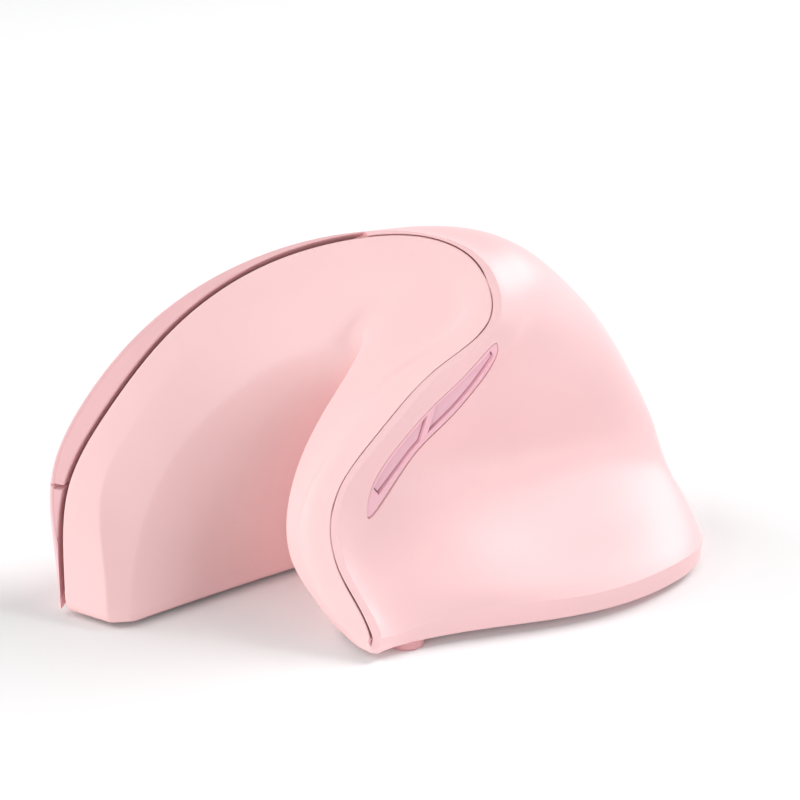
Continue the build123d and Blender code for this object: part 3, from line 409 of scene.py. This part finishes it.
def makePlateEdge(name, start, stop, body):
    shares = np.linspace(start, stop, edge["rings"])
    gap = np.interp(shares, *zip(*edge["gap"]))
    slot, front, back, radius = edge["slot"], edge["front"], edge["back"], edge["round"]
    turn = np.linspace(0, math.pi / 2, edge["roundSteps"])
    # (aside, depth) round the bar: plate's wall, rounded edge at the slot, back
    corners = [(gap + edge["into"], front)]
    corners += [(slot + radius * (1 - math.sin(a)), front + radius * (1 - math.cos(a))) for a in turn]
    corners += [(slot, back), (np.maximum(gap - edge["short"], slot + edge["least"]), back)]
    out = np.cross(face["across"], face["up"])
    rings = []
    for aside, depth in corners:
        at = shares + edge["lean"] * depth
        rim = splineThrough(onFront(face["rim"]), at)
        ahead = splineThrough(onFront(face["rim"]), at + 0.001) - rim
        outward = np.cross(out, ahead)
        outward /= np.linalg.norm(outward, axis=1, keepdims=True)
        rings.append(rim + outward * np.broadcast_to(aside, shares.shape)[:, None] - out * depth)
    bar = makeBar(name, np.stack(rings, 1) + np.array(face["centre"]), np.arange(1, len(turn)))
    bar.data.materials.append(materials["click_plastic"])
    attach(bar, body)


makePlateEdge("rightPlateEdge", start=0.097, stop=0.1368, body="right_click")
makePlateEdge("leftPlateEdge", start=0.1412, stop=0.383, body="left_click")
print("plate edges made")


# Camera, fitted to the outline of the CAD part
view = {"target": (0.00407, 0.00076, 0.0403), "turn": 50.0, "rise": 20.0, "distance": 0.45, "lens": 101.25,
        "sensor": 36.0}
turn, rise = math.radians(view["turn"]), math.radians(view["rise"])
back = Vector((math.sin(turn) * math.cos(rise), -math.cos(turn) * math.cos(rise), math.sin(rise)))
camera = bpy.data.objects.new("camera", bpy.data.cameras.new("camera"))
camera.data.lens = view["lens"]
camera.data.sensor_width = view["sensor"]
camera.location = Vector(view["target"]) + back * view["distance"]
camera.rotation_euler = back.to_track_quat("Z", "Y").to_euler()
bpy.context.scene.collection.objects.link(camera)
bpy.context.scene.camera = camera


# Floor: pale, with a little glow for the camera alone so that it reads as white paper
paper = {"half": 3.0, "glow": 0.04, "patches": 3.0, "dark": (0.93, 0.93, 0.94), "light": (0.95, 0.95, 0.95)}


def makeFloor():
    half = paper["half"]
    mesh = bpy.data.meshes.new("floor")
    corners = [(-half, -half, 0), (half, -half, 0), (half, half, 0), (-half, half, 0)]
    mesh.from_pydata(corners, [], [(0, 1, 2, 3)])
    floor = bpy.data.objects.new("floor", mesh)
    bpy.context.scene.collection.objects.link(floor)
    finish = Finish("floorPaper", Roughness=0.6, IOR=1.3)
    finish.drive("Base Color", finish.mix(finish.noise(paper["patches"]), paper["dark"], paper["light"]))
    seen = finish.node("ShaderNodeLightPath", output="Is Camera Ray")
    finish.drive("Emission Color", finish.mix(seen, (0, 0, 0), (1, 1, 1)))
    finish.shader.inputs["Emission Strength"].default_value = paper["glow"]
    mesh.materials.append(finish.material)


makeFloor()

# Soft studio light: discs aimed at the part, and a white surround that lights it less than it shows
aim = Vector((0, 0, 0.03))
surround = {"lighting": 0.2, "seen": 1.0}
lamps = [
    {"name": "key", "at": (-0.6, -0.9, 1.1), "size": 1.0, "power": 7.0},
    {"name": "side", "at": (-1.2, -0.8, 0.4), "size": 0.9, "power": 8.0},
    {"name": "front", "at": (0.5, -1.3, 0.3), "size": 0.9, "power": 8.5},
    {"name": "right", "at": (1.2, 0.8, 0.5), "size": 0.9, "power": 5.0},
    {"name": "rear", "at": (0.2, 1.3, 1.1), "size": 1.0, "power": 22.0},
]
for lamp in lamps:
    data = bpy.data.lights.new(lamp["name"], "AREA")
    data.shape = "DISK"
    data.size = lamp["size"]
    data.energy = lamp["power"]
    light = bpy.data.objects.new(lamp["name"], data)
    light.location = lamp["at"]
    light.rotation_euler = (Vector(lamp["at"]) - aim).to_track_quat("Z", "Y").to_euler()
    bpy.context.scene.collection.objects.link(light)

world = bpy.data.worlds.new("studio")
bpy.context.scene.world = world
world.use_nodes = True
sky = world.node_tree.nodes["Background"]
path = world.node_tree.nodes.new("ShaderNodeLightPath")
seen = world.node_tree.nodes.new("ShaderNodeMath")
seen.operation = "MAXIMUM"
level = world.node_tree.nodes.new("ShaderNodeMapRange")
level.inputs["To Min"].default_value = surround["lighting"]
level.inputs["To Max"].default_value = surround["seen"]
world.node_tree.links.new(path.outputs["Is Camera Ray"], seen.inputs[0])
world.node_tree.links.new(path.outputs["Is Glossy Ray"], seen.inputs[1])
world.node_tree.links.new(seen.outputs[0], level.inputs["Value"])
world.node_tree.links.new(level.outputs[0], sky.inputs["Strength"])
sky.inputs["Color"].default_value = (1, 1, 1, 1)
bpy.context.scene.view_settings.view_transform = "Standard"
print("stage made")
